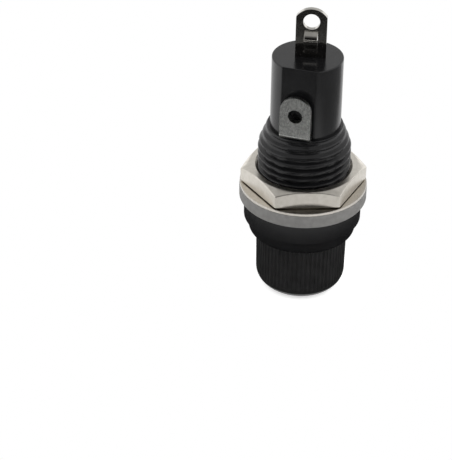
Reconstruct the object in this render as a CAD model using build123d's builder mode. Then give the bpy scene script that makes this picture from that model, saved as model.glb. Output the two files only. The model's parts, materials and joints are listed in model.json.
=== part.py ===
from build123d import *
import math
import os

os.makedirs("parts", exist_ok=True)

# Panel mount fuse holder for a 6 x 30 mm glass cartridge fuse, in millimetres.
# It stands on the end of its knob at Z = 0, with the holder's axis along +Z and the
# solder lugs on top. The side lug and the flat of the barrel behind it face about -Y.

# Cartridge fuse
fuse_length = 30.0
ferrule_radius = 3.175
ferrule_length = 6.0
ferrule_wall = 0.175
glass_wall = 0.6
fuse_wire_radius = 0.12

# Running clearances and seats
running_clearance = 0.05
seat_gap = 0.05
fuse_clearance = 0.225
slot_clearance = 0.05

# Knob with its straight flutes
knob_height = 10.5
knob_radius_end = 7.4
knob_radius_top = 7.5
knob_edge_radius = 2.8
knob_floor = 3.0
knob_rim_edge = 0.2
flute_count = 64
flute_radius = 0.26
flute_depth = 0.2

# Contact tube of the cap, pressed into the knob, and the clip in it
tube_wall = 0.35
tube_floor = 0.6
tube_setback = 4.2
cap_thread_pitch = 1.25
cap_turns = 3
clip_wall = 0.225
clip_length = 5.6
clip_root = 1.4
clip_slot_count = 6
clip_slot_width = 0.9

# Collar of the moulded body, from the knob up to the panel
collar_tier_radius = 8.8
collar_tier_height = 2.0
collar_tier_edge = 0.8
collar_cone_height = 0.6
collar_band_radius = 9.6
collar_band_height = 3.65
collar_band_edge = 0.2

# Threaded shank and barrel of the moulded body
thread_radius = 7.5
thread_pitch = 1.25
thread_depth = 0.7
thread_crest = 0.15
thread_flank_angle = 30.0
thread_neck = 1.7
shank_length = 13.4
lead_in_length = 3.4
lead_in_end_radius = 6.1
barrel_radius_base = 5.65
barrel_radius_end = 5.6
barrel_flat = 4.9
barrel_edge = 0.15
barrel_end_wall = 1.5

# Gasket, flat washer and nut on the shank
gasket_width = 2.9
gasket_thickness = 2.2
washer_inset = 0.05
washer_thickness = 0.5
washer_bore_clearance = 0.1
nut_wall = 1.4
nut_height = 3.1
nut_chamfer_angle = 30.0
nut_boss_height = 0.2
nut_boss_inset = 0.45
nut_angle = 9.3

# Side contact: turned sleeve in the bore and stamped lug beside the barrel
sleeve_wall = 0.5
sleeve_beyond_tube = 2.0
side_lug_angle = -101.0
side_lug_thickness = 0.7
side_lug_width = 5.0
side_lug_face = 6.3
side_lug_height = 7.6
side_lug_hole_radius = 1.15
side_lug_hole_from_tip = 3.2
side_lug_neck_wall = 0.3
side_lug_neck_length = 0.5
side_foot_width = 3.0
side_foot_depth = 7.0
side_bend_radius = 0.5

# Rear contact: lug through the end wall, spring seat, spring and plunger
rear_lug_width = 4.8
rear_lug_thickness = 0.8
rear_lug_height = 8.1
rear_lug_offset = 0.4
rear_lug_tip_radius = 2.8
rear_lug_hole_radius = 1.3
rear_lug_hole_from_tip = 2.1
bridge_width = 2.0
bridge_slit = 0.1
bridge_rise = 1.1
bridge_thickness = 0.45
bridge_foot = 0.7
bridge_gap = 0.35
rear_foot_length = 2.6
rear_foot_width = 4.0
seat_radius = 3.1
seat_thickness = 0.5
seat_rim_height = 1.0
seat_rim_wall = 0.35
plunger_radius = 3.1
plunger_thickness = 0.9
plunger_stem_radius = 1.6
plunger_stem_length = 1.6
spring_radius = 2.2
spring_wire_radius = 0.25
spring_turns = 4.5
rear_contact_room = 6.95

# Levels along the axis
tube_inner_radius = ferrule_radius + running_clearance + clip_wall
tube_outer_radius = tube_inner_radius + tube_wall
fuse_start = knob_floor + tube_floor + seat_gap
fuse_end = fuse_start + fuse_length
collar_start = knob_height + seat_gap
collar_tier_end = collar_start + collar_tier_height
collar_cone_end = collar_tier_end + collar_cone_height
panel_level = collar_cone_end + collar_band_height
washer_level = panel_level + gasket_thickness
nut_level = washer_level + washer_thickness
nut_top = nut_level + nut_height
shank_end = panel_level + shank_length
lead_in_start = shank_end - lead_in_length
cavity_end = fuse_end + rear_contact_room
barrel_end = cavity_end + barrel_end_wall
barrel_length = barrel_end - shank_end
tube_end = shank_end - tube_setback
sleeve_start = tube_end - cap_turns * cap_thread_pitch
contact_bore_end = tube_end + sleeve_beyond_tube

# Radii along the axis
fuse_bore_radius = ferrule_radius + fuse_clearance
sleeve_inner_radius = tube_outer_radius + running_clearance
sleeve_outer_radius = sleeve_inner_radius + sleeve_wall
gasket_radius = thread_radius + gasket_width
washer_radius = gasket_radius - washer_inset
nut_across_flats = 2 * (thread_radius + nut_wall)
nut_corner_radius = nut_across_flats / 2 / math.cos(math.radians(30))
nut_boss_radius = nut_across_flats / 2 - nut_boss_inset

# Thread of the shank: the groove between its crests, which runs out over the lead-in
thread_start = panel_level + thread_neck
thread_slope = math.tan(math.radians(thread_flank_angle))
groove_mouth = (thread_pitch - thread_crest) / 2
groove_root = groove_mouth - thread_depth * thread_slope
groove_overshoot = thread_crest / 2
groove_outer = groove_mouth + groove_overshoot * thread_slope


# Knob: a moulded cup with a rounded end and straight flutes round its side
with BuildPart() as knob_cap:
    with BuildSketch(Plane.XZ) as knob_half:
        with BuildLine():
            Polyline(
                (0, 0),
                (knob_radius_end, 0),
                (knob_radius_top, knob_height),
                (0, knob_height),
                close=True,
            )
        make_face()
        fillet(knob_half.vertices().sort_by_distance((knob_radius_end, 0))[0], knob_edge_radius)
        fillet(knob_half.vertices().sort_by_distance((knob_radius_top, knob_height))[0], knob_rim_edge)
    revolve(axis=Axis.Z)
    with BuildSketch(Plane.XY):
        with PolarLocations(knob_radius_top - flute_depth + flute_radius, flute_count):
            Circle(flute_radius)
    extrude(amount=knob_height, mode=Mode.SUBTRACT)
    with BuildSketch(Plane.XY.offset(knob_floor)):
        Circle(tube_outer_radius)
    extrude(amount=knob_height - knob_floor, mode=Mode.SUBTRACT)
knob_cap.part.label = "knob_cap"
export_step(knob_cap.part, "parts/knob_cap.step")


# Contact tube of the cap: a drawn cup that takes the fuse and reaches into the sleeve
with BuildPart() as cap_contact_tube:
    with BuildSketch(Plane.XY.offset(knob_floor)):
        Circle(tube_outer_radius)
    extrude(amount=tube_end - knob_floor)
    with BuildSketch(Plane.XY.offset(knob_floor + tube_floor)):
        Circle(tube_inner_radius)
    extrude(amount=tube_end, mode=Mode.SUBTRACT)
cap_contact_tube.part.label = "cap_contact_tube"
export_step(cap_contact_tube.part, "parts/cap_contact_tube.step")


# Clip: a slotted spring ring in the tube that grips the front ferrule
clip_start = knob_floor + tube_floor
with BuildPart() as fuse_clip:
    with BuildSketch(Plane.XY.offset(clip_start)):
        Circle(tube_inner_radius)
        Circle(ferrule_radius + running_clearance, mode=Mode.SUBTRACT)
    extrude(amount=clip_length)
    with BuildSketch(Plane.XY.offset(clip_start + clip_root)):
        with PolarLocations(tube_inner_radius, clip_slot_count):
            Rectangle(tube_inner_radius, clip_slot_width)
    extrude(amount=clip_length, mode=Mode.SUBTRACT)
fuse_clip.part.label = "fuse_clip"
export_step(fuse_clip.part, "parts/fuse_clip.step")


# Fuse: glass tube, a drawn ferrule on each end and the wire between them
glass_radius = ferrule_radius - ferrule_wall
with BuildPart() as fuse_glass_tube:
    with BuildSketch(Plane.XY.offset(fuse_start + ferrule_wall)):
        Circle(glass_radius)
        Circle(glass_radius - glass_wall, mode=Mode.SUBTRACT)
    extrude(amount=fuse_length - 2 * ferrule_wall)
fuse_glass_tube.part.label = "fuse_glass_tube"
export_step(fuse_glass_tube.part, "parts/fuse_glass_tube.step")

ferrule_ends = {"fuse_front_ferrule": (fuse_start, 1), "fuse_rear_ferrule": (fuse_end, -1)}
for ferrule_name, (ferrule_level, inward) in ferrule_ends.items():
    with BuildPart() as fuse_ferrule:
        with BuildSketch(Plane.XY.offset(ferrule_level)):
            Circle(ferrule_radius)
        extrude(amount=inward * ferrule_length)
        with BuildSketch(Plane.XY.offset(ferrule_level + inward * ferrule_wall)):
            Circle(glass_radius)
        extrude(amount=inward * ferrule_length, mode=Mode.SUBTRACT)
    fuse_ferrule.part.label = ferrule_name
    export_step(fuse_ferrule.part, f"parts/{ferrule_name}.step")

with BuildPart() as fuse_wire:
    with BuildSketch(Plane.XY.offset(fuse_start + ferrule_wall)):
        Circle(fuse_wire_radius)
    extrude(amount=fuse_length - 2 * ferrule_wall)
fuse_wire.part.label = "fuse_wire"
export_step(fuse_wire.part, "parts/fuse_wire.step")


# Side lug directions: out from the axis, and along the lug's width
side_out = Vector(math.cos(math.radians(side_lug_angle)), math.sin(math.radians(side_lug_angle)), 0)
side_across = Vector(0, 0, 1).cross(side_out)
side_section = Plane(origin=(0, 0, 0), x_dir=side_out, z_dir=-side_across)
side_face = Plane(origin=(0, 0, 0), x_dir=side_across, z_dir=side_out)
foot_face = sleeve_outer_radius + side_lug_thickness / 2
lug_face = side_lug_face - side_lug_thickness / 2
leg_level = shank_end + side_lug_thickness / 2
side_lug_tip = shank_end + side_lug_height
foot_end = shank_end - side_foot_depth
side_slot_end = shank_end + side_lug_thickness + slot_clearance
neck_level = side_lug_tip - side_lug_hole_from_tip

# Body: collar, threaded shank and barrel in one moulding, bored from the front
with BuildPart() as holder_body:
    with BuildSketch(Plane.XY.offset(panel_level)):
        Circle(thread_radius)
    extrude(amount=shank_length)
    with BuildLine() as thread_line:
        Helix(
            pitch=thread_pitch,
            height=shank_end - thread_start + thread_pitch,
            radius=thread_radius,
            center=(0, 0, thread_start),
        )
    with BuildSketch(Plane(origin=thread_line.line @ 0, x_dir=(1, 0, 0), z_dir=thread_line.line % 0)):
        Polygon(
            (groove_overshoot, groove_outer),
            (-thread_depth, groove_root),
            (-thread_depth, -groove_root),
            (groove_overshoot, -groove_outer),
            align=None,
        )
    sweep(is_frenet=True, mode=Mode.SUBTRACT)
    with BuildSketch(Plane.XZ) as shank_half:
        with BuildLine():
            Polyline(
                (0, panel_level),
                (thread_radius, panel_level),
                (thread_radius, lead_in_start),
                (lead_in_end_radius, shank_end),
                (0, shank_end),
                close=True,
            )
        make_face()
        fillet(shank_half.vertices().sort_by_distance((thread_radius, lead_in_start))[0], lead_in_length)
    revolve(axis=Axis.Z, mode=Mode.INTERSECT)
    with BuildSketch(Plane.XZ) as collar_half:
        with BuildLine():
            Polyline(
                (0, collar_start),
                (collar_tier_radius, collar_start),
                (collar_tier_radius, collar_tier_end),
                (collar_band_radius, collar_cone_end),
                (collar_band_radius, panel_level),
                (0, panel_level),
                close=True,
            )
        make_face()
        fillet(
            collar_half.vertices().sort_by_distance((collar_tier_radius, collar_start))[0],
            collar_tier_edge,
        )
        fillet(
            collar_half.vertices().sort_by_distance((collar_band_radius, panel_level))[0],
            collar_band_edge,
        )
    revolve(axis=Axis.Z)
    with BuildSketch(Plane.XZ) as barrel_half:
        with BuildLine():
            Polyline(
                (0, shank_end),
                (barrel_radius_base, shank_end),
                (barrel_radius_end, barrel_end),
                (0, barrel_end),
                close=True,
            )
        make_face()
        fillet(barrel_half.vertices().sort_by_distance((barrel_radius_end, barrel_end))[0], barrel_edge)
    revolve(axis=Axis.Z)
    with BuildSketch(side_face.offset(barrel_flat)):
        with Locations((0, (shank_end + barrel_end) / 2)):
            Rectangle(2 * barrel_radius_base, barrel_length)
    extrude(amount=barrel_radius_base, mode=Mode.SUBTRACT)
    with BuildSketch(Plane.XY.offset(collar_start)):
        Circle(fuse_bore_radius)
    extrude(amount=cavity_end - collar_start, mode=Mode.SUBTRACT)
    with BuildSketch(Plane.XY.offset(collar_start)):
        Circle(sleeve_outer_radius)
    extrude(amount=contact_bore_end - collar_start, mode=Mode.SUBTRACT)
    with BuildSketch(side_face.offset(fuse_bore_radius)):
        with Locations((0, (foot_end + contact_bore_end) / 2)):
            Rectangle(side_foot_width + 2 * slot_clearance, contact_bore_end - foot_end)
    extrude(
        amount=sleeve_outer_radius + side_lug_thickness + slot_clearance - fuse_bore_radius,
        mode=Mode.SUBTRACT,
    )
    with BuildSketch(side_face.offset(sleeve_outer_radius - slot_clearance)):
        with Locations((0, (foot_end + side_slot_end) / 2)):
            Rectangle(side_foot_width + 2 * slot_clearance, side_slot_end - foot_end)
    extrude(amount=side_lug_thickness + 2 * slot_clearance, mode=Mode.SUBTRACT)
    with BuildSketch(Plane.XY.offset(cavity_end)):
        with Locations((rear_lug_offset, 0)):
            Rectangle(rear_lug_width, rear_lug_thickness)
    extrude(amount=barrel_end_wall, mode=Mode.SUBTRACT)
holder_body.part.label = "holder_body"
export_step(holder_body.part, "parts/holder_body.step")


# Side contact sleeve: the turned ring that the cap's tube screws into
with BuildPart() as side_contact_sleeve:
    with BuildSketch(Plane.XY.offset(sleeve_start)):
        Circle(sleeve_outer_radius)
        Circle(sleeve_inner_radius, mode=Mode.SUBTRACT)
    extrude(amount=contact_bore_end - sleeve_start)
side_contact_sleeve.part.label = "side_contact_sleeve"
export_step(side_contact_sleeve.part, "parts/side_contact_sleeve.step")


# Side terminal: a strip with its narrow foot beside the sleeve, widened where it leaves the
# barrel, bent out over the shank's end and up into a round-ended lug with a neck round its hole
with BuildPart() as side_terminal:
    with BuildSketch(side_section):
        with BuildLine():
            FilletPolyline(
                (foot_face, foot_end),
                (foot_face, leg_level),
                (lug_face, leg_level),
                (lug_face, side_lug_tip),
                radius=side_bend_radius,
            )
        trace(line_width=side_lug_thickness)
    extrude(amount=side_lug_width / 2, both=True)
    with BuildSketch(side_face):
        with Locations((0, (foot_end + leg_level) / 2)):
            Rectangle(side_foot_width, leg_level - foot_end + 2 * side_lug_thickness)
        with Locations((0, (shank_end + side_lug_tip - side_lug_width / 2) / 2)):
            Rectangle(side_lug_width, side_lug_height - side_lug_width / 2)
        with Locations((0, side_lug_tip - side_lug_width / 2)):
            Circle(side_lug_width / 2)
    extrude(amount=2 * side_lug_face, mode=Mode.INTERSECT)
    with BuildSketch(side_face):
        with Locations((0, leg_level)):
            Rectangle(2 * side_lug_width, 2 * side_lug_thickness)
            Rectangle(side_foot_width, 2 * side_lug_thickness, mode=Mode.SUBTRACT)
    extrude(amount=barrel_flat + slot_clearance, mode=Mode.SUBTRACT)
    with BuildSketch(side_face.offset(side_lug_face - side_lug_thickness)):
        with Locations((0, neck_level)):
            Circle(side_lug_hole_radius + side_lug_neck_wall)
    extrude(amount=-side_lug_neck_length)
    with BuildSketch(side_face.offset(side_lug_face)):
        with Locations((0, neck_level)):
            Circle(side_lug_hole_radius)
    extrude(amount=-side_lug_thickness - side_lug_neck_length, mode=Mode.SUBTRACT)
side_terminal.part.label = "side_terminal"
export_step(side_terminal.part, "parts/side_terminal.step")


# Rear terminal: a strip moulded into the end wall, its foot bent flat inside the bore,
# its lug rounded, holed and lanced into a raised bridge below the hole
rear_tip = barrel_end + rear_lug_height
rear_hole_level = rear_tip - rear_lug_hole_from_tip
bridge_start = barrel_end + bridge_foot
bridge_end = rear_hole_level - rear_lug_hole_radius - bridge_gap
bridge_middle = (bridge_start + bridge_end) / 2
bridge_front = -rear_lug_thickness / 2
bridge_back = bridge_front + bridge_thickness
rear_foot_level = cavity_end - rear_lug_thickness
with BuildPart() as rear_terminal:
    with BuildSketch(Plane.XZ.offset(-rear_lug_thickness / 2)):
        with Locations((rear_lug_offset, (rear_foot_level + rear_tip) / 2)):
            Rectangle(rear_lug_width, rear_tip - rear_foot_level)
        with Locations((rear_lug_offset, rear_tip - rear_lug_tip_radius)):
            Circle(rear_lug_tip_radius, mode=Mode.INTERSECT)
        with Locations((rear_lug_offset, (rear_foot_level + rear_tip - rear_lug_tip_radius) / 2)):
            Rectangle(rear_lug_width, rear_tip - rear_lug_tip_radius - rear_foot_level)
        with Locations((rear_lug_offset, rear_hole_level)):
            Circle(rear_lug_hole_radius, mode=Mode.SUBTRACT)
        with Locations((rear_lug_offset, bridge_middle)):
            Rectangle(bridge_width + 2 * bridge_slit, bridge_end - bridge_start, mode=Mode.SUBTRACT)
    extrude(amount=rear_lug_thickness)
    with BuildSketch(Plane.YZ.offset(rear_lug_offset)):
        with BuildLine():
            ThreePointArc(
                (bridge_front, bridge_start),
                (bridge_front - bridge_rise, bridge_middle),
                (bridge_front, bridge_end),
            )
            Line((bridge_front, bridge_end), (bridge_back, bridge_end))
            ThreePointArc(
                (bridge_back, bridge_end),
                (bridge_back - bridge_rise, bridge_middle),
                (bridge_back, bridge_start),
            )
            Line((bridge_back, bridge_start), (bridge_front, bridge_start))
        make_face()
    extrude(amount=bridge_width / 2, both=True)
    with BuildSketch(Plane.XY.offset(rear_foot_level)):
        with Locations((0, rear_foot_length / 2)):
            Rectangle(rear_foot_width, rear_foot_length)
    extrude(amount=rear_lug_thickness)
rear_terminal.part.label = "rear_terminal"
export_step(rear_terminal.part, "parts/rear_terminal.step")


# Spring seat: a shallow cup under the rear terminal's foot
seat_level = rear_foot_level - seat_thickness
with BuildPart() as spring_seat:
    with BuildSketch(Plane.XY.offset(seat_level)):
        Circle(seat_radius)
    extrude(amount=seat_thickness)
    with BuildSketch(Plane.XY.offset(seat_level)):
        Circle(seat_radius)
        Circle(seat_radius - seat_rim_wall, mode=Mode.SUBTRACT)
    extrude(amount=-seat_rim_height)
spring_seat.part.label = "spring_seat"
export_step(spring_seat.part, "parts/spring_seat.step")


# Plunger: the turned button that the spring presses on the rear ferrule
plunger_face = fuse_end + seat_gap
plunger_back = plunger_face + plunger_thickness
with BuildPart() as contact_plunger:
    with BuildSketch(Plane.XY.offset(plunger_face)):
        Circle(plunger_radius)
    extrude(amount=plunger_thickness)
    with BuildSketch(Plane.XY.offset(plunger_back)):
        Circle(plunger_stem_radius)
    extrude(amount=plunger_stem_length)
contact_plunger.part.label = "contact_plunger"
export_step(contact_plunger.part, "parts/contact_plunger.step")


# Contact spring: a coil of round wire between the plunger and its seat
spring_start = plunger_back + spring_wire_radius
spring_height = seat_level - plunger_back - 2 * spring_wire_radius
with BuildPart() as contact_spring:
    with BuildLine(Plane.XY.offset(spring_start)) as coil:
        Helix(pitch=spring_height / spring_turns, height=spring_height, radius=spring_radius)
    with BuildSketch(Plane(origin=coil.line @ 0, z_dir=coil.line % 0)):
        Circle(spring_wire_radius)
    sweep(is_frenet=True)
contact_spring.part.label = "contact_spring"
export_step(contact_spring.part, "parts/contact_spring.step")


# Gasket between the collar and the panel
with BuildPart() as gasket:
    with BuildSketch(Plane.XY.offset(panel_level)):
        Circle(gasket_radius)
        Circle(thread_radius, mode=Mode.SUBTRACT)
    extrude(amount=gasket_thickness)
gasket.part.label = "gasket"
export_step(gasket.part, "parts/gasket.step")


# Flat washer under the nut
with BuildPart() as flat_washer:
    with BuildSketch(Plane.XY.offset(washer_level)):
        Circle(washer_radius)
        Circle(thread_radius + washer_bore_clearance, mode=Mode.SUBTRACT)
    extrude(amount=washer_thickness)
flat_washer.part.label = "flat_washer"
export_step(flat_washer.part, "parts/flat_washer.step")


# Hexagon nut: on a low round boss, its upper corners turned off to a cone
nut_cone_drop = (nut_corner_radius - nut_across_flats / 2) * math.tan(math.radians(nut_chamfer_angle))
with BuildPart() as hex_nut:
    with BuildSketch(Plane.XY.offset(nut_level)):
        RegularPolygon(nut_corner_radius, 6, rotation=nut_angle)
        Circle(thread_radius + running_clearance, mode=Mode.SUBTRACT)
    extrude(amount=nut_height)
    with BuildSketch(Plane.XZ):
        with BuildLine():
            Polyline(
                (0, nut_level),
                (nut_boss_radius, nut_level),
                (nut_boss_radius, nut_level + nut_boss_height),
                (nut_corner_radius, nut_level + nut_boss_height),
                (nut_corner_radius, nut_top - nut_cone_drop),
                (nut_across_flats / 2, nut_top),
                (0, nut_top),
                close=True,
            )
        make_face()
    revolve(axis=Axis.Z, mode=Mode.INTERSECT)
hex_nut.part.label = "hex_nut"
export_step(hex_nut.part, "parts/hex_nut.step")
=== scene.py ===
import json
import math
import bmesh
import bpy
import numpy as np
from mathutils import Matrix, Vector


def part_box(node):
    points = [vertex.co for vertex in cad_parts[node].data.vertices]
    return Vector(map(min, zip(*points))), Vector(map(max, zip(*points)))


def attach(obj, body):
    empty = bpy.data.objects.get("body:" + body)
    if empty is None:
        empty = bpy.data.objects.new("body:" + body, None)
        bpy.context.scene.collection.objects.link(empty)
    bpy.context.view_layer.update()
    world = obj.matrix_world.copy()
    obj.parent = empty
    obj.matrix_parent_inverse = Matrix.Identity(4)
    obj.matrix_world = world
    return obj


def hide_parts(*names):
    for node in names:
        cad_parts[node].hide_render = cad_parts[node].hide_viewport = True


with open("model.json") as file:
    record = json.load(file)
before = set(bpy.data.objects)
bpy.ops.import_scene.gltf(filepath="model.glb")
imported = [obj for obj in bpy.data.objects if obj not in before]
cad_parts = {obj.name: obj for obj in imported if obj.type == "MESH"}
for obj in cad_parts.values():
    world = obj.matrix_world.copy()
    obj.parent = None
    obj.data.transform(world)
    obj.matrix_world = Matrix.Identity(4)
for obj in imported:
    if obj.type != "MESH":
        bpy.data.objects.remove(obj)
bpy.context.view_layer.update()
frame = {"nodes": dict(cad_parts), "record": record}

# Panel mount fuse holder, standing on its knob with the solder lugs on top.
# Shapes are worked out in millimetres and put into the meshes in metres.
mm = 0.001
hair = 1e-6  # a length too small to matter, in millimetres
scene = bpy.context.scene


def levels(node):
    # The lowest and the highest point of one of the frame's nodes
    low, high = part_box(node)
    return low.z / mm, high.z / mm


def reach(node):
    # Half of a node's width, which is the outer radius of a round one
    low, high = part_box(node)
    return (high.x - low.x) / 2 / mm


# Shapes as grids of points, put into meshes
def roundCorners(points, radii, steps=6, support=0.04):
    # Each corner becomes an arc that touches both of its legs. A point a little way along each leg
    # keeps the flat beside the arc flat when the surface is shaded smooth.
    points = [np.array(p, float) for p in points]
    line = [points[0]]
    for before, corner, after, radius in zip(points, points[1:], points[2:], radii):
        if radius == 0:
            line.append(corner)
            continue
        u, v = before - corner, after - corner
        lengthU, lengthV = np.linalg.norm(u), np.linalg.norm(v)
        u, v = u / lengthU, v / lengthV
        half = math.acos(np.clip(u @ v, -1, 1)) / 2
        tangent = radius / math.tan(half)
        centre = corner + (u + v) / np.linalg.norm(u + v) * radius / math.sin(half)
        sweep = math.pi - 2 * half
        share = np.linspace(0, 1, steps + 1)[:, None]
        start, end = corner + u * tangent - centre, corner + v * tangent - centre
        swung = np.sin((1 - share) * sweep) * start + np.sin(share * sweep) * end
        if lengthU > tangent + 2 * support:
            line.append(corner + u * (tangent + support))
        line.extend(centre + swung / math.sin(sweep))
        if lengthV > tangent + 2 * support:
            line.append(corner + v * (tangent + support))
    line.append(points[-1])
    return np.array(line)


def distances(line):
    # How far along a line of points each of them lies
    return np.concatenate([[0], np.cumsum(np.hypot(*np.diff(line, axis=0).T))])


def addRows(line, low, high, step, least=0):
    # More points along the part of a profile whose height lies between low and high and whose radius
    # is more than least, evenly spaced. A point is dropped where it would all but touch the one before.
    distance = distances(line)
    closest = step / 20
    inside = (line[:, 1] >= low) & (line[:, 1] <= high) & (line[:, 0] > least)
    extra = np.arange(distance[inside].min(), distance[inside].max(), step)
    every = np.unique(np.concatenate([distance, extra]))
    every = every[np.concatenate([[True], np.diff(every) > closest])]
    return np.stack([np.interp(every, distance, line[:, k]) for k in (0, 1)], -1)


def surface(name, points, wrapRows=False, wrapColumns=True, keep=None):
    # A grid of points, rows x columns x 3 in millimetres. Each face joins a point to the next one
    # in its row and in its column, and the wrapped ways close on themselves. Where keep is given, only
    # its faces are made, and the points that none of them uses are left out.
    rows, columns = points.shape[:2]
    r, c = np.meshgrid(np.arange(rows - (not wrapRows)), np.arange(columns - (not wrapColumns)),
                       indexing="ij")
    nextR, nextC = (r + 1) % rows, (c + 1) % columns
    faces = np.stack([r * columns + c, r * columns + nextC,
                      nextR * columns + nextC, nextR * columns + c], -1)
    faces = faces[keep] if keep is not None else faces.reshape(-1, 4)
    used, faces = np.unique(faces, return_inverse=True)
    mesh = bpy.data.meshes.new(name)
    mesh.from_pydata(points.reshape(-1, 3)[used] * mm, [], faces.reshape(-1, 4).tolist())
    return meshObject(name, mesh)


def meshObject(name, mesh, weld=1e-7, sharpAngle=38):
    # Points that coincide, as at a pole or a seam, are joined, and a closed surface is turned outwards
    work = bmesh.new()
    work.from_mesh(mesh)
    bmesh.ops.remove_doubles(work, verts=work.verts, dist=weld)
    if work.calc_volume(signed=True) < 0:
        bmesh.ops.reverse_faces(work, faces=work.faces)
    work.to_mesh(mesh)
    work.free()
    mesh.shade_smooth()
    mesh.set_sharp_from_angle(angle=math.radians(sharpAngle))
    piece = bpy.data.objects.new(name, mesh)
    scene.collection.objects.link(piece)
    return piece


def joinMeshes(piece, other):
    # The faces of the other object are added to the piece, and the other object goes
    work = bmesh.new()
    work.from_mesh(piece.data)
    work.from_mesh(other.data)
    work.to_mesh(piece.data)
    work.free()
    bpy.data.objects.remove(other)
    return piece


def aroundAxis(distance, angle, height):
    # Points at their distances from the axis, their angles round it and their heights along it
    across, along = distance * np.cos(angle), distance * np.sin(angle)
    return np.stack(np.broadcast_arrays(across, along, height), -1)


def turned(name, profile, columns=160, wrapRows=True):
    # A profile of radius and height carried round the axis
    angle = np.arange(columns) / columns * 2 * math.pi
    return surface(name, aroundAxis(profile[:, :1], angle, profile[:, 1:]), wrapRows=wrapRows)


def ring(name, inner, outer, low, high, edge):
    # A turned ring of square section with rounded edges, which starts and ends half way up its outside
    middle = (low + high) / 2
    corners = [(outer, middle), (outer, high), (inner, high), (inner, low), (outer, low), (outer, middle)]
    return turned(name, roundCorners(corners, [edge] * 4)[:-1])


# Materials
def linear(hexColour):
    # sRGB hex to the linear values that the shader works in
    part = [int(hexColour[k:k + 2], 16) / 255 for k in (1, 3, 5)]
    return [c / 12.92 if c <= 0.04045 else ((c + 0.055) / 1.055) ** 2.4 for c in part] + [1]


def addNode(tree, kind, settings=(), links=()):
    # A setting is a property of the node or else the value of a socket, and a link runs from another
    # node's output to the socket that its key names or counts
    node = tree.nodes.new(kind)
    for key, value in dict(settings).items():
        if hasattr(node, key):
            setattr(node, key, value)
        else:
            node.inputs[key].default_value = value
    for key, source in dict(links).items():
        tree.links.new(source, node.inputs[key])
    return node


def newMaterial(name, settings):
    # A material with these values on its shader's own sockets, its tree and its shader, and the place on
    # the piece, which the patterns read
    material = bpy.data.materials.new(name)
    material.use_nodes = True
    tree = material.node_tree
    shader = tree.nodes["Principled BSDF"]
    for key, value in settings.items():
        shader.inputs[key].default_value = value
    position = addNode(tree, "ShaderNodeTexCoord").outputs["Object"]
    return material, tree, shader, position


def grained(name, settings, colours, gloss, patch, grain, depth, stretch=(1, 1, 1), stops=(0.35, 0.65)):
    # Noise in patches as wide as patch blends the two colours. Finer noise, as wide as grain, moves the
    # roughness between the two ends of gloss and lifts the surface by depth, and it stands closer along
    # each axis by the factor in stretch. Widths and depth are in millimetres.
    material, tree, shader, position = newMaterial(name, dict(settings, Roughness=gloss[0]))
    wide = addNode(tree, "ShaderNodeTexNoise", {"Scale": 1 / (patch * mm), "Detail": 3},
                   {"Vector": position})
    blend = addNode(tree, "ShaderNodeValToRGB", links={"Fac": wide.outputs["Fac"]})
    for stop, place, colour in zip(blend.color_ramp.elements, stops, colours):
        stop.position = place
        stop.color = linear(colour)
    tree.links.new(blend.outputs["Color"], shader.inputs["Base Color"])
    placed = addNode(tree, "ShaderNodeMapping", {"Scale": stretch}, {"Vector": position})
    fine = addNode(tree, "ShaderNodeTexNoise", {"Scale": 1 / (grain * mm), "Detail": 3},
                   {"Vector": placed.outputs["Vector"]}).outputs["Fac"]
    if gloss[1] > gloss[0]:
        rough = addNode(tree, "ShaderNodeMapRange", {"To Min": gloss[0], "To Max": gloss[1]},
                        {"Value": fine})
        tree.links.new(rough.outputs["Result"], shader.inputs["Roughness"])
    bump = addNode(tree, "ShaderNodeBump", {"Strength": 1, "Distance": depth * mm}, {"Height": fine})
    tree.links.new(bump.outputs["Normal"], shader.inputs["Normal"])
    return material


def mouldedPhenolic(name, colours, gloss, flow, depth):
    # Black phenolic from a polished or a satin tool: deep black with faint flow marks, which reflects
    # clearly or softly. Its fine grain is an eighth as wide as the flow marks.
    return grained(name, {"IOR": 1.5}, colours, gloss, flow, flow / 8, depth)


def plated(name, colours, gloss, grain, depth, stretch=(1, 1, 1)):
    # Plated or turned metal: the grain of the metal below shows through as fine variation of its gloss.
    # One grain is too fine to show in the colour, so that changes in patches six grains wide.
    return grained(name, {"Metallic": 1}, colours, gloss, grain * 6, grain, depth, stretch)


def greyRubber(name, colours, roughness, patch, grain, depth):
    # Moulded grey rubber: soft sheen and a fine even grain
    return grained(name, {"IOR": 1.5}, colours, (roughness, roughness), patch, grain, depth)


def clearGlass(name, colour, gloss, patch):
    # Drawn soda glass: clear, with a slight change of gloss along the tube
    settings = {"IOR": 1.52, "Transmission Weight": 1, "Roughness": 0.02, "Base Color": linear(colour)}
    material, tree, shader, position = newMaterial(name, settings)
    wide = addNode(tree, "ShaderNodeTexNoise", {"Scale": 1 / (patch * mm), "Detail": 3},
                   {"Vector": position})
    rough = addNode(tree, "ShaderNodeMapRange", {"To Min": gloss[0], "To Max": gloss[1]},
                    {"Value": wide.outputs["Fac"]})
    tree.links.new(rough.outputs["Result"], shader.inputs["Roughness"])
    return material


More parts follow.
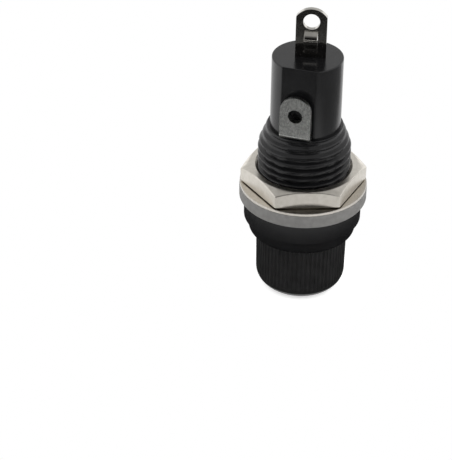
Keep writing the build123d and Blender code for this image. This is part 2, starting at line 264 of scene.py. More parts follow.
# A finish has its two colours, its least and greatest roughness, the width and the depth of its grain in
# millimetres and, where it is turned or rolled, how much closer the grain stands along X, Y and Z. For the
# phenolic the width is that of its flow marks. The rubber has one roughness, and the width of its patches
# before that of its grain. The glass has one colour, and the width of its patches.
finishes = {
    "phenolic_black": mouldedPhenolic("polishedPhenolic", ("#0d0d0e", "#121213"), (0.19, 0.27), 2.5, 0.001),
    "knob_black": mouldedPhenolic("satinPhenolic", ("#1b1b1b", "#222222"), (0.34, 0.46), 1.6, 0.002),
    "turned_brass": plated("turnedBrass", ("#c9a24e", "#d8b463"), (0.2, 0.34), 0.05, 0.002, (1, 1, 12)),
    "spring_brass": plated("rolledSpringBrass", ("#c08f4d", "#d0a05c"), (0.22, 0.36), 0.06, 0.002,
                           (1, 1, 0.1)),
    "satin_nickel": plated("satinNickelStrip", ("#b2b3b0", "#d4d5d1"), (0.2, 0.38), 0.07, 0.003,
                           (1, 1, 0.1)),
    "bright_tin": plated("brightTinStrip", ("#b9b6b0", "#c8c5be"), (0.1, 0.17), 0.25, 0.001,
                         (1, 1, 0.2)),
    "spring_steel": plated("drawnSpringSteel", ("#8f9093", "#a2a3a6"), (0.25, 0.4), 0.05, 0.001),
    "grey_rubber": greyRubber("mouldedRubber", ("#6a6967", "#747371"), 0.6, 0.9, 0.08, 0.004),
    "clear_glass": clearGlass("drawnGlass", "#f2f8f5", (0.01, 0.04), 2),
    "bright_nickel": plated("brightNickel", ("#c6c2b8", "#d3cfc5"), (0.12, 0.2), 0.1, 0.001),
    "fuse_wire_tin": plated("tinnedWire", ("#a9a9a9", "#bcbcbc"), (0.2, 0.35), 0.05, 0.001),
    "washer_nickel": plated("satinNickelWasher", ("#cdc8c0", "#d8d3cb"), (0.17, 0.26), 0.1, 0.002),
    "nut_nickel": plated("satinNickelNut", ("#dad5cb", "#e4dfd6"), (0.24, 0.36), 0.12, 0.004),
}
slotOf = {part["node"]: part["material_slot"] for part in frame["record"]["subparts"]}
bodies = frame["record"]["behaviour"]["bodies"]
bodyOf = {node: body for body, nodes in bodies.items() for node in nodes}
for node, nodeObject in frame["nodes"].items():
    nodeObject.data.materials.clear()
    nodeObject.data.materials.append(finishes[slotOf[node]])
print("materials made:", len(finishes))


def standFor(piece, node):
    # The piece takes the place, the body and the finish of a CAD node
    piece.data.materials.append(finishes[slotOf[node]])
    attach(piece, bodyOf[node])
    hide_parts(node)


# Moulded body: collar, threaded shank and barrel
bodyForm = {
    "pitch": 1.25,
    "threadStart": 1.7,  # above the flange, and the length over which the ridge rises
    "threadDelay": 0.3,  # share of that length before the ridge begins
    "threadDepth": 0.7,
    "crestFlat": 0.15,
    "flankAngle": 30,
    "flankSoftness": 0.5,  # 0 for straight flanks, 1 for S curves
    "threadRadius": 7.5,
    "tierRadius": 8.8,
    "tierHeight": 2.0,
    "tierEdge": 0.8,
    "coneHeight": 0.6,
    "stepEdge": 0.15,
    "bandEdge": 0.2,
    "shankLength": 13.4,
    "leadIn": 3.4,
    "leadInRadius": 6.1,
    "leadInGroove": 0.42,  # least depth of the grooves there
    "leadInEdge": 0.12,
    "barrelBase": 5.65,
    "barrelTop": 5.6,
    "flat": 4.9,  # from the axis
    "flatDirection": -101.0,  # degrees from +X
    "barrelEdge": 0.15,
    "fuseBore": 3.4,
    "boreEdge": 0.2,
    "mouthEdge": 0.15,
    "endWall": 1.5,  # between the bore and the end of the barrel
    "flatColumns": 48,
    "roundColumns": 168,
    "rowsPerPitch": 15,
    "rowMargin": 0.01,
    "shankMargins": (0.005, 0.02),  # left plain at both ends of the thread
}


def threadHeight(angle, height, form):
    # A ridge that climbs one pitch a turn: 0 in the root, 1 on the crest. Its flanks are straight,
    # mixed with an S curve that softens where they begin and end.
    start = levels("gasket")[0] + form["threadStart"]
    phase = ((height - start) / form["pitch"] - angle / (2 * math.pi)) % 1
    away = np.abs(phase - 0.5) * form["pitch"]
    flank = form["threadDepth"] * math.tan(math.radians(form["flankAngle"]))
    rise = np.clip((form["crestFlat"] / 2 + flank - away) / flank, 0, 1)
    soft = form["flankSoftness"]
    return rise * (1 - soft) + rise * rise * (3 - 2 * rise) * soft


def makeBody(form):
    # Each row has a height, a radius for its round side and a distance for its flat. A point lies at the
    # radius or, where that is nearer, on the flat, and on the shank the grooves are taken off it.
    collarStart, barrelEnd = levels("holder_body")
    panel = levels("gasket")[0]
    sleeveEnd = levels("side_contact_sleeve")[1]
    band, sleeve, crest = reach("holder_body"), reach("side_contact_sleeve"), form["threadRadius"]
    shankEnd = panel + form["shankLength"]
    leadStart = shankEnd - form["leadIn"]
    tierEnd = collarStart + form["tierHeight"]
    coneEnd = tierEnd + form["coneHeight"]
    cavityEnd = barrelEnd - form["endWall"]
    corners = [(0, cavityEnd), (form["fuseBore"], cavityEnd), (form["fuseBore"], sleeveEnd),
               (sleeve, sleeveEnd), (sleeve, collarStart), (form["tierRadius"], collarStart),
               (form["tierRadius"], tierEnd), (band, coneEnd), (band, panel), (crest, panel),
               (crest, leadStart), (form["leadInRadius"], shankEnd), (form["barrelBase"], shankEnd)]
    radii = [form["boreEdge"], 0, 0, form["mouthEdge"], form["tierEdge"], form["stepEdge"],
             form["stepEdge"], form["bandEdge"], 0, form["leadIn"], form["leadInEdge"]]
    lower = addRows(roundCorners(corners, radii), panel, shankEnd - form["rowMargin"],
                    form["pitch"] / form["rowsPerPitch"], form["barrelBase"])
    # The barrel's rows hold an inset, by which both its round side and its flat stand back at the edge
    barrel = roundCorners([(0, shankEnd), (0, barrelEnd), (form["barrelTop"], barrelEnd)],
                          [form["barrelEdge"]])
    inset, height = barrel[:-1, 0], barrel[:-1, 1]
    share = (height - shankEnd) / (barrelEnd - shankEnd)
    radius = form["barrelBase"] + share * (form["barrelTop"] - form["barrelBase"]) - inset
    far = 10 * band  # where a row has no flat, it lies this far out
    radius = np.concatenate([lower[:-1, 0], radius, [0]])[:, None]
    flat = np.concatenate([np.full(len(lower) - 1, far), form["flat"] - inset, [0]])[:, None]
    height = np.concatenate([lower[:-1, 1], height, [barrelEnd]])[:, None]
    # The flat takes its own columns, from one of its edges to the other, and the round side the rest
    usual = math.asin(form["flat"] / form["barrelBase"])
    edge = np.where(flat < far, np.arcsin(np.clip(flat / np.maximum(radius, hair), 0, 1)), usual)
    edge[-1] = usual
    across = np.arange(form["flatColumns"]) / form["flatColumns"]
    around = np.arange(form["roundColumns"]) / form["roundColumns"]
    angle = np.concatenate([(edge - math.pi) + across * (math.pi - 2 * edge),
                            -edge + around * (math.pi + 2 * edge)], 1)
    facing = np.maximum(-np.sin(angle), 0.001)  # never 0, as it divides
    distance = np.minimum(radius, flat / facing)
    angle = angle + math.radians(form["flatDirection"] + 90)
    # The grooves have one root radius, and over the lead-in they keep at least a shallow one below
    # its surface
    grooved = 1 - threadHeight(angle, height, form)
    ridge = np.minimum(crest - form["threadDepth"] * grooved, radius - form["leadInGroove"] * grooved)
    rising = np.clip((height - panel) / form["threadStart"] - form["threadDelay"], 0, 1)
    first, last = form["shankMargins"]
    onShank = (height > panel + first) & (height < shankEnd - last)
    onShank = onShank & (radius > form["barrelBase"]) & (radius <= crest + hair)
    distance = np.where(onShank, np.minimum(distance, radius + (ridge - radius) * rising), distance)
    standFor(surface("bodyMoulding", aroundAxis(distance, angle, height)), "holder_body")


makeBody(bodyForm)
print("body made")

# Knob with its flutes
knobForm = {
    "endRadius": 7.4,
    "endEdge": 2.8,
    "rimEdge": 0.2,
    "boreEdge": 0.1,
    "edgeSteps": 14,
    "floor": 3.0,  # thickness of the knob's end
    "flutes": 64,
    "fluteRadius": 0.26,
    "fluteDepth": 0.2,
    "fluteColumns": (0, 0.37, 0.7, 0.93, 1),  # from the middle of a flute to its last column
    "fluteShare": 0.97,  # of the flute's half width, where its last column stands
    "rowMargin": 0.5,
    "rowStep": 1.0,
}


def makeKnob(form):
    # A profile carried round the axis. On its outside a point lies at the profile's radius or, where
    # that is nearer, on the straight round cutter of its flute.
    low, high = levels("knob_cap")
    top, bore = reach("knob_cap"), reach("cap_contact_tube")
    floor = low + form["floor"]
    corners = [(0, low), (form["endRadius"], low), (top, high), (bore, high), (bore, floor), (0, floor)]
    radii = [form["endEdge"], form["rimEdge"], form["boreEdge"], 0]
    profile = roundCorners(corners, radii, steps=form["edgeSteps"])
    profile = addRows(profile, low + form["rowMargin"], high - form["rowMargin"], form["rowStep"])
    # Across a flute the columns stand closer, and one column stands between it and the next
    spacing = 2 * math.pi / form["flutes"]
    half = form["fluteRadius"] / top
    side = np.array(form["fluteColumns"]) * half * form["fluteShare"]
    within = np.concatenate([-side[:0:-1], side, [spacing / 2]])
    angle = (np.arange(form["flutes"])[:, None] * spacing + within).reshape(-1)
    cutter = top - form["fluteDepth"] + form["fluteRadius"]
    offset = np.tile(within, form["flutes"])
    aside = cutter * np.sin(offset)
    reachIn = np.sqrt(np.maximum(form["fluteRadius"] ** 2 - aside ** 2, 0))
    groove = np.where(np.abs(aside) < form["fluteRadius"], cutter * np.cos(offset) - reachIn, 10 * top)
    radius, height = profile[:, :1], profile[:, 1:]
    outside = np.arange(len(profile))[:, None] < np.argmax(profile[:, 1] >= high - hair)
    distance = np.where(outside, np.minimum(radius, groove), radius)
    standFor(surface("knobMoulding", aroundAxis(distance, angle, height)), "knob_cap")


makeKnob(knobForm)
print("knob made")

# Gasket, washer and nut
gasketForm = {"edge": 0.22}
washerForm = {"bore": 7.6, "edge": 0.06}
nutForm = {
    "across": 17.8,  # across its flats
    "turn": 9.3,  # degrees of one corner's direction from +X
    "chamferAngle": 30,
    "chamferDrop": 0.07,  # of the sides' upper edge below the chamfer's cone
    "cornerRound": 0.22,
    "leastRound": 0.02,
    "edge": 0.1,
    "edgeRows": 4,
    "arris": 0.03,  # inset of the row between side and chamfer
    "arrisRise": 0.5,  # share of the edge by which that row stays below the top
    "arrisDrop": 0.3,  # its share of the chamfer's drop
    "rimGap": 0.02,  # least depth of the chamfer's last row below the top
    "support": 0.04,
    "lip": 0.005,  # share by which a row beside a sharp edge stands in or out
    "clearance": 0.05,
    "sideColumns": 22,
    "cornerColumns": 6,
    "countersink": 0.35,
    "threadRows": 46,
    "boss": 0.2,
    "bossInset": 0.45,
}


def makeRings():
    # The gasket fits the thread, and the washer has a wider bore
    low, high = levels("gasket")
    gasket = ring("gasketRing", bodyForm["threadRadius"], reach("gasket"), low, high, gasketForm["edge"])
    standFor(gasket, "gasket")
    low, high = levels("flat_washer")
    washer = ring("washerRing", washerForm["bore"], reach("flat_washer"), low, high, washerForm["edge"])
    standFor(washer, "flat_washer")


def hexOutline(form, inset):
    # A hexagon with rounded corners, the same number of points for every inset
    apothem, rounding = form["across"] / 2 - inset, max(form["cornerRound"] - inset, form["leastRound"])
    corner = (apothem - rounding) / math.cos(math.radians(30))
    sides = np.radians(form["turn"] + np.arange(6) * 60)[:, None]
    bend = np.radians(np.linspace(-30, 30, form["cornerColumns"] + 1))[None, :]
    arc = np.stack([corner * np.cos(sides) + rounding * np.cos(sides + bend),
                    corner * np.sin(sides) + rounding * np.sin(sides + bend)], -1)
    end = np.roll(arc[:, 0], -1, axis=0)[:, None]
    share = (np.arange(1, form["sideColumns"]) / form["sideColumns"])[None, :, None]
    straight = arc[:, -1][:, None] * (1 - share) + end * share
    return np.concatenate([arc, straight], 1).reshape(-1, 2)


def makeNut(form):
    # Each row is an outline and its height: up the outside from the boss, over the chamfer, in across
    # the top and down the threaded bore. The chamfer is a cone, which falls as the outline goes out.
    low, high = levels("hex_nut")
    flats = form["across"] / 2
    slope = math.tan(math.radians(form["chamferAngle"]))
    edge, drop, support, lip = (form[key] for key in ("edge", "chamferDrop", "support", "lip"))
    outer, inner = hexOutline(form, 0), hexOutline(form, edge)
    coneTop = high - (np.hypot(*outer.T) - flats) * slope
    insetTop = high - np.maximum(np.hypot(*inner.T) - flats, 0) * slope
    sideTop = np.minimum(coneTop, high - edge) - drop
    arrisTop = np.minimum(coneTop, high - edge * form["arrisRise"]) - drop * form["arrisDrop"]
    angle = np.arctan2(outer[:, 1], outer[:, 0])
    unit = np.stack([np.cos(angle), np.sin(angle)], -1)
    flatRim = unit * np.minimum(np.hypot(*inner.T), flats - edge)[:, None]
    # The hexagon stands on a low round boss, which leaves a dark seam round its foot
    seat = low
    low = low + form["boss"]
    boss = unit * (flats - form["bossInset"])
    rows = [(boss * (1 - lip), seat), (boss, seat), (boss, low), (boss * (1 + lip), low), (inner, low)]
    for turn in np.linspace(0, 1, form["edgeRows"]) * math.pi / 2:
        rows.append((hexOutline(form, edge * (1 - math.sin(turn))), low + edge * (1 - math.cos(turn))))
    rows += [(outer, low + edge + support), (outer, sideTop - support), (outer, sideTop)]
    rows += [(hexOutline(form, form["arris"]), arrisTop)]
    rows += [(inner, np.minimum(insetTop, high - form["rimGap"]))]
    rows += [(flatRim, high), (flatRim * (1 - lip), high)]
    bore = bodyForm["threadRadius"] + form["clearance"]
    mouth = bore + form["countersink"]
    rows.append((unit * (mouth + support), high))
    for z in np.linspace(high, seat, form["threadRows"]):
        taper = mouth - min(high - z, z - seat)
        thread = bore - bodyForm["threadDepth"] * (1 - threadHeight(angle, z, bodyForm))
        rows.append((unit * np.maximum(thread, taper)[:, None], z))
    rows.append((unit * (mouth + support), seat))
    points = [np.column_stack([outline, np.broadcast_to(z, len(outline))]) for outline, z in rows]
    standFor(surface("nutHexagon", np.stack(points), wrapRows=True), "hex_nut")


makeRings()
makeNut(nutForm)
print("gasket, washer and nut made")

# Contact tube and fuse ends, seen when the cap is pulled out
tubeForm = {
    "wall": 0.35,
    "floor": 0.6,
    "edge": 0.08,
    "pitch": 1.25,
    "turns": 3,
    "threadDepth": 0.2,
    "runOut": 0.35,
    "rowsPerPitch": 14,
    "columns": 96,
}
ferruleForm = {"wall": 0.175, "edge": 0.24, "rim": 0.05, "columns": 96}


def makeTube(form):
    # The outside swings between crest and root as a cosine of the turns climbed, less the share of the
    # circle gone round. The groove deepens over its first pitch and fades out at the mouth.
    low, high = levels("cap_contact_tube")
    outer = reach("cap_contact_tube")
    bore, floor = outer - form["wall"], low + form["floor"]
    start = high - form["turns"] * form["pitch"]
    corners = [(0, low), (outer, low), (outer, start), (outer, high),
               (bore, high), (bore, floor), (0, floor)]
    profile = roundCorners(corners, [form["edge"], 0] + [form["edge"]] * 3)
    profile = addRows(profile, start, high - form["edge"], form["pitch"] / form["rowsPerPitch"],
                      (outer + bore) / 2)
    radius, height = profile[:, :1], profile[:, 1:]
    angle = np.arange(form["columns"]) / form["columns"] * 2 * math.pi
    turns = (height - start) / form["pitch"] - angle / (2 * math.pi)
    groove = form["threadDepth"] * (0.5 - 0.5 * np.cos(2 * math.pi * turns))
    fade = np.clip((height - start) / form["pitch"], 0, 1) * np.clip((high - height) / form["runOut"], 0, 1)
    distance = np.where(radius > outer - hair, radius - groove * fade, radius)
    standFor(surface("contactTube", aroundAxis(distance, angle, height)), "cap_contact_tube")


def makeFerrule(name, node, form, inward):
    # A drawn cup, closed at the fuse's end: its outside, its rim, its bore and its floor, carried round
    low, high = levels(node)
    closed, mouth = (low, high) if inward > 0 else (high, low)
    outer = reach(node)
    bore, floor = outer - form["wall"], closed + inward * form["wall"]
    corners = [(0, closed), (outer, closed), (outer, mouth), (bore, mouth), (bore, floor), (0, floor)]
    profile = roundCorners(corners, [form["edge"], form["rim"], form["rim"], 0])
    standFor(turned(name, profile, form["columns"], wrapRows=False), node)


makeTube(tubeForm)
makeFerrule("frontFerrule", "fuse_front_ferrule", ferruleForm, 1)
makeFerrule("rearFerrule", "fuse_rear_ferrule", ferruleForm, -1)
print("contact tube and fuse ends made")

# Solder lugs, stamped from strip
sideLugForm = {
    "angle": -101.0,
    "thickness": 0.7,
    "footWidth": 3.0,
    "width": 5.0,
    "face": 6.3,  # its outer face, from the axis
    "bend": 0.5,
    "shoulderGap": 0.1,  # between the flat and the shoulder, where foot turns to full width
    "shoulderStep": 1e-4,
    "holeRadius": 1.15,
    "holeFromTip": 3.2,
    "ringShare": 0.4,  # of the width beside the hole, for the inner columns
    "tipRows": 20,
    "neckWall": 0.3,  # of the short tube behind the hole
    "neckLength": 0.5,
    "neckEdge": 0.08,
    "neckRoot": 0.1,  # sunk into the lug
    "neckColumns": 72,
    "edge": 0.09,
}
rearLugForm = {
    "thickness": 0.8,
    "width": 4.8,
    "offset": 0.4,
    "tipRadius": 2.8,
    "holeRadius": 1.3,
    "holeFromTip": 2.1,
    "ringShare": 0.45,
    "rowsFrom": 2.0,  # above its lowest point
    "tipRows": 24,
    "bridgeWidth": 2.06,
    "slit": 0.01,  # between the bridge and each side of its slot
    "fineMargin": 0.01,  # past the slot, for finding its edges
    "bridgeRise": 1.1,
    "bridgeSkew": 0.52,  # 1 for a crown half way up
    "bridgeThickness": 0.45,
    "bridgeFoot": 0.7,  # above the end of the barrel
    "bridgeGap": 0.35,  # below the hole
    "bridgeEdge": 0.08,
    "bridgeGrid": (40, 9),
    "footLength": 2.6,
    "footWidth": 4.0,
    "bend": 0.6,
    "edge": 0.12,
}


def stampedSheet(name, path, across, inner, middle, outer, skip=None, columns=(6, 8), weld=2e-6):
    # The middle surface of a strip: path gives the points along it, and each half runs
    # across from inner through middle to outer. Faces of the first stretch are left out where skip says.
    first = np.arange(columns[0]) / columns[0]
    share = np.concatenate([first, 1 + np.arange(columns[1] + 1) / columns[1]])
    low, mid, high = inner[:, None], middle[:, None], outer[:, None]
    offset = np.where(share < 1, low + share * (mid - low), mid + (share - 1) * (high - mid))
    keep = None
    if skip is not None:
        keep = ~(skip[:-1, None] & skip[1:, None] & (np.arange(len(share) - 1)[None, :] < columns[0]))
    halves = []
    for side in (1, -1):
        points = path[:, None, :] + side * offset[:, :, None] * np.array(across)
        halves.append(surface(name, points, wrapColumns=False, keep=keep))
    piece = joinMeshes(halves[0], halves[1])
    work = bmesh.new()
    work.from_mesh(piece.data)
    bmesh.ops.remove_doubles(work, verts=work.verts, dist=weld)
    bmesh.ops.recalc_face_normals(work, faces=work.faces)
    work.to_mesh(piece.data)
    work.free()
    return piece


def thicken(piece, thickness, edge, fine=None, fineShare=0.3, sharpAngle=40):
    # The sheet gets its wall, and its cut edges are rounded. Where fine is true of an edge's middle, in
    # millimetres, the rounding is only a share of the usual one, as where a punch leaves a crisp edge.
    wall = piece.modifiers.new("wall", "SOLIDIFY")
    wall.thickness = thickness * mm
    wall.offset = 0
    walled = piece.evaluated_get(bpy.context.evaluated_depsgraph_get())
    mesh = bpy.data.meshes.new_from_object(walled)
    piece.modifiers.clear()
    piece.data = mesh
    mesh.set_sharp_from_angle(angle=math.radians(sharpAngle))
    ends, sharp = np.zeros(2 * len(mesh.edges), int), np.zeros(len(mesh.edges), bool)
    place = np.zeros(3 * len(mesh.vertices))
    mesh.edges.foreach_get("vertices", ends)
    mesh.attributes["sharp_edge"].data.foreach_get("value", sharp)
    mesh.vertices.foreach_get("co", place)
    middle = place.reshape(-1, 3)[ends.reshape(-1, 2)].mean(1) / mm
    share = np.where(fine(middle), fineShare, 1) if fine else 1
    weight = mesh.attributes.new("bevel_weight_edge", "FLOAT", "EDGE")
    weight.data.foreach_set("value", share * sharp * 1.0)
    rounding = piece.modifiers.new("edges", "BEVEL")
    rounding.width = edge * mm
    rounding.segments = 4
    rounding.limit_method = "WEIGHT"
    rounding.harden_normals = True


def spaced(centre, radius, steps=14):
    # Distances that stand closer towards both ends of a round
    return centre + radius * np.sin(np.linspace(-math.pi / 2, math.pi / 2, steps * 2 + 1))


def rounded(radius, away):
    # Half of the width that a circle has this far from its centre, and 0 past its edge
    return np.sqrt(np.maximum(radius ** 2 - away ** 2, 0))


def makeSideLug(form):
    # The strip leaves its slot as a narrow foot, bends out over the shank's end and up past the flat.
    # Its half width runs from the hole's edge to its own, which closes in a half circle at the tip.
    low, tip = levels("side_terminal")
    leg = levels("gasket")[0] + bodyForm["shankLength"] + form["thickness"] / 2
    foot = reach("side_contact_sleeve") + form["thickness"] / 2
    face = form["face"] - form["thickness"] / 2
    route = roundCorners([(foot, low), (foot, leg), (face, leg), (face, tip)], [form["bend"]] * 2, steps=8)
    length = distances(route)
    top = length[-1]
    half = form["width"] / 2
    hole = top - form["holeFromTip"]
    onLeg = (route[:, 1] > leg - hair) & (route[:, 0] > foot + form["bend"] - hair)
    wide = np.interp(bodyForm["flat"] + form["shoulderGap"], route[onLeg, 0], length[onLeg])
    tipRows = top - half + half * np.sin(np.linspace(0, math.pi / 2, form["tipRows"]))
    shoulder = [wide, wide + form["shoulderStep"]]
    along = np.concatenate([length, spaced(hole, form["holeRadius"]), tipRows, shoulder])
    along = np.unique(np.round(along, 5))  # rows that all but coincide are one
    inner = rounded(form["holeRadius"], along - hole)
    outer = np.where(along <= wide, form["footWidth"] / 2, half)
    outer = np.minimum(outer, rounded(half, np.maximum(along - (top - half), 0)))
    middle = inner + (outer - inner) * form["ringShare"]
    turn = math.radians(form["angle"])
    out = np.array([math.cos(turn), math.sin(turn), 0])
    across = np.array([-math.sin(turn), math.cos(turn), 0])
    up = np.array([0, 0, 1])
    radial, height = np.interp(along, length, route[:, 0]), np.interp(along, length, route[:, 1])
    path = radial[:, None] * out + height[:, None] * up
    piece = stampedSheet("sideLug", path, across, inner, middle, outer)
    thicken(piece, form["thickness"], form["edge"])
    # The neck that the punch draws out behind the lug: a short tube round the hole, across the face,
    # whose root lies inside the lug
    level = tip - form["holeFromTip"]
    back = form["face"] - form["thickness"]
    end, root = back - form["neckLength"], back + form["neckRoot"]
    bore, wall = form["holeRadius"], form["holeRadius"] + form["neckWall"]
    corners = [(wall, back), (wall, end), (bore, end), (bore, root), (wall, root), (wall, back)]
    profile = roundCorners(corners, [form["neckEdge"], form["neckEdge"], 0, 0])[:-1]
    angle = np.arange(form["neckColumns"]) / form["neckColumns"] * 2 * math.pi
    side, rise = profile[:, :1] * np.cos(angle), level + profile[:, :1] * np.sin(angle)
    points = profile[:, 1:, None] * out + side[:, :, None] * across + rise[:, :, None] * up
    joinMeshes(piece, surface("neck", points, wrapRows=True))
    standFor(piece, "side_terminal")


def makeRearLug(form):
    # The strip runs in along its foot, bends up and goes straight to the tip, where height tells how far
    # along it a point is. Its half width runs from the hole's edge or the slot's to its own.
    low, tip = levels("rear_terminal")
    barrelEnd = levels("holder_body")[1]
    half = form["width"] / 2
    hole = tip - form["holeFromTip"]
    slotLow = barrelEnd + form["bridgeFoot"]
    slotHigh = hole - form["holeRadius"] - form["bridgeGap"]
    slotHalf = form["bridgeWidth"] / 2 + form["slit"]
    tipCentre = tip - form["tipRadius"]
    floor = low + form["thickness"] / 2
    route = roundCorners([(form["footLength"], floor), (0, floor), (0, tip)], [form["bend"]], steps=8)
    length = distances(route)
    below = length[-1] - tip
    quarter = np.linspace(0, math.pi / 2, form["tipRows"])
    heights = [spaced(hole, form["holeRadius"]), [slotLow, slotHigh],
               np.linspace(low + form["rowsFrom"], tip, form["tipRows"]),
               tipCentre + form["tipRadius"] * np.sin(quarter)]
    along = np.unique(np.round(np.concatenate([length, np.concatenate(heights) + below]), 5))
    y, z = np.interp(along, length, route[:, 0]), np.interp(along, length, route[:, 1])
    inner = np.where(along > length[-1] / 2, rounded(form["holeRadius"], z - hole), 0)
    outer = np.minimum(half, rounded(form["tipRadius"], np.maximum(z - tipCentre, 0)))
    risen = np.clip((z - low - form["thickness"]) / form["bend"], 0, 1)
    outer = np.minimum(outer, form["footWidth"] / 2 + risen * (half - form["footWidth"] / 2))
    inSlot = (z >= slotLow - hair) & (z <= slotHigh + hair)
    near = np.abs(z - hole) < form["holeRadius"] + form["bridgeGap"]
    middle = np.where(near, inner + (outer - inner) * form["ringShare"], slotHalf)
    middle = np.minimum(np.where(inSlot, slotHalf, middle), outer)
    path = np.stack([form["offset"] * risen, y, z], -1)
    piece = stampedSheet("rearLug", path, (1, 0, 0), inner, middle, outer, skip=inSlot)
    # The edges of the slot behind the bridge are crisp
    fineHalf, fineTop = slotHalf + form["fineMargin"], slotHigh + form["fineMargin"]
    thicken(piece, form["thickness"], form["edge"],
            lambda place: (np.abs(place[:, 0] - form["offset"]) < fineHalf) & (place[:, 2] < fineTop))
    standFor(piece, "rear_terminal")
    # The lanced bridge: a strip that rises from the front face in one arc, a sine of the share of its
    # length, and comes back to it. Its height is that share to the power of the skew, so that the crown
    # stands nearer to the hole than to the foot.
    rows, columns = form["bridgeGrid"]
    share = np.linspace(0, 1, rows)
    face = -form["thickness"] / 2 + form["bridgeThickness"] / 2
    width = np.linspace(-1, 1, columns) * form["bridgeWidth"] / 2
    y = face - form["bridgeRise"] * np.sin(math.pi * share)
    z = slotLow + (slotHigh - slotLow) * share ** form["bridgeSkew"]
    points = np.stack(np.broadcast_arrays(form["offset"] + width[None, :], y[:, None], z[:, None]), -1)
    bridge = surface("rearLugBridge", points, wrapColumns=False)
    thicken(bridge, form["bridgeThickness"], form["bridgeEdge"])
    bridge.data.materials.append(finishes["bright_tin"])
    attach(bridge, "holder")


makeSideLug(sideLugForm)
makeRearLug(rearLugForm)
print("lugs made")

# Camera, at the photograph's viewing angle
cameraForm = {
    "elevation": 31.0,
    "azimuth": 4.0,
    "roll": 2.15,
    "distance": 250.0,
    "focalPixels": 1545.0,
    "aimHeight": 24.2,
    "aimPixel": (304.11, 154.83),
    "frameSize": (452, 460),
    "nearest": 1.0,
}


def makeCamera(form):
    # The line of sight falls by the elevation and is turned by the azimuth, and the frame by the roll
    elevation, azimuth, roll = (math.radians(form[key]) for key in ("elevation", "azimuth", "roll"))
    looking = Vector((-math.sin(azimuth) * math.cos(elevation), math.cos(azimuth) * math.cos(elevation),
                      -math.sin(elevation)))
    right = Vector((math.cos(azimuth), math.sin(azimuth), 0))
    up = right.cross(looking)
    across = math.cos(roll) * right + math.sin(roll) * up
    upright = -math.sin(roll) * right + math.cos(roll) * up
    data = bpy.data.cameras.new("camera")
    data.sensor_fit = "HORIZONTAL"
    data.lens = data.sensor_width * form["focalPixels"] / form["frameSize"][0]
    data.clip_start = form["nearest"] * mm
    camera = bpy.data.objects.new("camera", data)
    scene.collection.objects.link(camera)
    # The camera turns a little, so that the aim falls on its own pixel and not on the frame's middle
    pixel = Vector(((form["aimPixel"][0] - form["frameSize"][0] / 2) / form["focalPixels"],
                    (form["frameSize"][1] / 2 - form["aimPixel"][1]) / form["focalPixels"], -1))
    turn = pixel.rotation_difference(Vector((0, 0, -1))).to_matrix()
    axes = Matrix((across, upright, -looking)).transposed() @ turn
    aim = Vector((0, 0, form["aimHeight"] * mm))
    camera.matrix_world = Matrix.Translation(aim - looking * form["distance"] * mm) @ axes.to_4x4()
    scene.camera = camera


makeCamera(cameraForm)
scene.view_settings.view_transform = "Standard"

# Floor, cards and light
floorForm = {
    "size": 3000,
    "colour": "#eaeaea",
    "lift": 0.5,
    "shown": (10, 13),  # where it begins and ends to clear, from the axis
    "mirroredStrength": 0.95,
}
# A card has its name, where it stands, its edges across and then from near to far or from low to high,
# its colour and its strength
cardForm = {
    "cards": (
        ("stripCard", "floor", (-13, 48, -52, -37), "#f0f0f0", 1),
        ("shadeCard", "floor", (-50, -13, -57, -40), "#2c2c2c", 1),
        ("midCard", "floor", (-13, 260, -58, -52), "#303030", 1),
        ("barrelCard", "floor", (-260, 260, -64, -58), "#909090", 1),
        ("lugTopCard", "floor", (-260, 260, -70, -64), "#bababa", 1),
        ("lugCard", "floor", (-260, 260, -77, -70), "#1c1c1c", 1),
        ("holeCard", "floor", (-260, 260, -82, -77), "#a8a8a8", 1),
        ("farCard", "floor", (-260, 260, -420, -82), "#242424", 1),
        ("rightCard", "floor", (48, 260, -52, 60), "#888888", 1),
        ("leftCard", "floor", (-260, -36, -40, 30), "#f4f4f4", 1),
        ("horizonCard", "wall", (-420, 420, 0, 60), "#e0e0e0", 1),
        ("frontCard", "wall", (-420, 420, 60, 420), "#181818", 1),
        ("upperCard", "wall", (-420, 420, 420, 900), "#606060", 1),
        ("roofCard", "roof", (-900, 900, -420, 900), "#b2b2b2", 1),
        ("lowBackCard", "back", (-900, 900, 0, 150), "#ffffff", 1.3),
        ("backCard", "back", (-900, 900, 150, 900), "#d2d2d2", 1),
    ),
    "wallDistance": 420,
    "cardLift": 1,
    # The dark disc round the foot is painted shade, which gloss sees in place of the part's shadow on the
    # floor
    "shadeDiscRadius": 31,
    "shadeDiscColour": "#343434",
    "shadeDiscLift": 1.5,
    "shadeDiscCorners": 60,
}
worldForm = {"fill": 0.62}
# Places and sizes of lamps are in metres
lampForm = {
    "size": 0.7,
    "aim": (0, 0, 0.02),
    "lamps": (("keyLamp", (-0.45, -0.11, 0.4), 2.4), ("fillLamp", (0.45, -0.13, 0.4), 3.0)),
}


def clearTree(owner):
    # The node tree of a material or of the world, without the nodes that it comes with
    owner.use_nodes = True
    owner.node_tree.nodes.clear()
    return owner.node_tree


def flatPiece(name, outline, materialName):
    # One flat face with a material of its own, and that material's tree
    mesh = bpy.data.meshes.new(name)
    mesh.from_pydata(np.array(outline, float) * mm, [], [tuple(range(len(outline)))])
    piece = bpy.data.objects.new(name, mesh)
    scene.collection.objects.link(piece)
    material = bpy.data.materials.new(materialName)
    mesh.materials.append(material)
    return piece, clearTree(material)


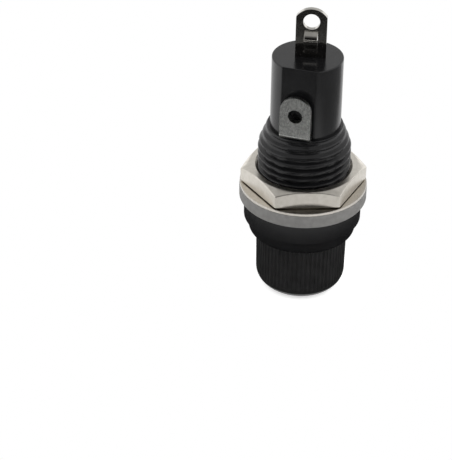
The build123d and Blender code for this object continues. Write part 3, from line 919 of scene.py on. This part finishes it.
def makeFloor(form):
    # The camera sees the lit floor lifted to white, so that only the shadow shows, and gloss sees plain
    # white. Past the shadow the floor is clear to the camera, so that a cap pulled out below it shows.
    half = form["size"] / 2
    outline = [(-half, -half, 0), (half, -half, 0), (half, half, 0), (-half, half, 0)]
    floor, tree = flatPiece("floor", outline, "paleFloor")
    rays = addNode(tree, "ShaderNodeLightPath").outputs
    paint = addNode(tree, "ShaderNodeBsdfDiffuse", {"Color": linear(form["colour"])}).outputs[0]
    lift = addNode(tree, "ShaderNodeEmission", {"Strength": form["lift"]}).outputs[0]
    seen = addNode(tree, "ShaderNodeAddShader", links={0: paint, 1: lift}).outputs[0]
    first = addNode(tree, "ShaderNodeMixShader", links={"Fac": rays["Is Camera Ray"], 1: paint, 2: seen})
    plain = addNode(tree, "ShaderNodeEmission", {"Strength": form["mirroredStrength"]}).outputs[0]
    mirrored = addNode(tree, "ShaderNodeMath", {"operation": "MAXIMUM"},
                       {0: rays["Is Glossy Ray"], 1: rays["Is Transmission Ray"]}).outputs[0]
    second = addNode(tree, "ShaderNodeMixShader", links={"Fac": mirrored, 1: first.outputs[0], 2: plain})
    place = addNode(tree, "ShaderNodeTexCoord").outputs["Object"]
    away = addNode(tree, "ShaderNodeVectorMath", {"operation": "LENGTH"}, {0: place}).outputs["Value"]
    start, end = form["shown"]
    fade = addNode(tree, "ShaderNodeMapRange", {"From Min": start * mm, "From Max": end * mm},
                   {"Value": away}).outputs["Result"]
    beyond = addNode(tree, "ShaderNodeMath", {"operation": "MULTIPLY"},
                     {0: rays["Is Camera Ray"], 1: fade}).outputs[0]
    clear = addNode(tree, "ShaderNodeBsdfTransparent").outputs[0]
    third = addNode(tree, "ShaderNodeMixShader", links={"Fac": beyond, 1: second.outputs[0], 2: clear})
    addNode(tree, "ShaderNodeOutputMaterial", links={"Surface": third.outputs[0]})


def showGlow(name, outline, colour, strength):
    # A flat glowing piece that only gloss sees
    card, tree = flatPiece(name, outline, name)
    glow = addNode(tree, "ShaderNodeEmission", {"Color": linear(colour), "Strength": strength})
    addNode(tree, "ShaderNodeOutputMaterial", links={"Surface": glow.outputs[0]})
    card.visible_camera = False
    card.visible_diffuse = False
    card.visible_shadow = False
    card.visible_transmission = False


def makeCards(form):
    # Polished faces mirror these cards, as they mirror the dark front of the studio and its strips of
    # light in the photograph. A card lies on the floor, stands in front or behind, or hangs above.
    away = form["wallDistance"]
    for name, side, (left, right, low, high), colour, strength in form["cards"]:
        across, rise = np.array([left, right, right, left]), np.array([low, low, high, high])
        spots = {"floor": (across, rise, form["cardLift"]), "wall": (across, -away, rise),
                 "back": (across, away, rise), "roof": (across, rise, 2 * away)}
        showGlow(name, np.stack(np.broadcast_arrays(*spots[side]), -1), colour, strength)
    # A dark round disc lies round the part's foot, seen only by gloss: painted shade for the part's shadow
    # on the floor
    turn = np.arange(form["shadeDiscCorners"]) / form["shadeDiscCorners"] * 2 * math.pi
    showGlow("paintedShadeDisc", aroundAxis(form["shadeDiscRadius"], turn, form["shadeDiscLift"]), form["shadeDiscColour"], 1)


def makeWorld(form):
    # White to the camera, to gloss and through glass, and a dimmer white fill for everything else
    world = bpy.data.worlds.new("studio")
    scene.world = world
    tree = clearTree(world)
    rays = addNode(tree, "ShaderNodeLightPath").outputs
    white = (1, 1, 1, 1)
    fill = addNode(tree, "ShaderNodeBackground", {"Color": white, "Strength": form["fill"]}).outputs[0]
    shown = addNode(tree, "ShaderNodeBackground", {"Color": white, "Strength": 1}).outputs[0]
    direct = addNode(tree, "ShaderNodeMath", {"operation": "MAXIMUM"},
                     {0: rays["Is Camera Ray"], 1: rays["Is Glossy Ray"]}).outputs[0]
    through = addNode(tree, "ShaderNodeMath", {"operation": "MAXIMUM"},
                      {0: direct, 1: rays["Is Transmission Ray"]}).outputs[0]
    mixed = addNode(tree, "ShaderNodeMixShader", links={"Fac": through, 1: fill, 2: shown})
    addNode(tree, "ShaderNodeOutputWorld", links={"Surface": mixed.outputs[0]})


def makeLamps(form):
    # Large round lamps, which gloss doesn't see, each turned from its place to the aim
    for name, place, power in form["lamps"]:
        data = bpy.data.lights.new(name, "AREA")
        data.shape = "DISK"
        data.size = form["size"]
        data.energy = power
        lamp = bpy.data.objects.new(name, data)
        lamp.location = place
        lamp.rotation_euler = (Vector(form["aim"]) - Vector(place)).to_track_quat("-Z", "Y").to_euler()
        lamp.visible_glossy = False
        scene.collection.objects.link(lamp)


makeFloor(floorForm)
makeCards(cardForm)
makeWorld(worldForm)
makeLamps(lampForm)
print("camera, floor and light made")
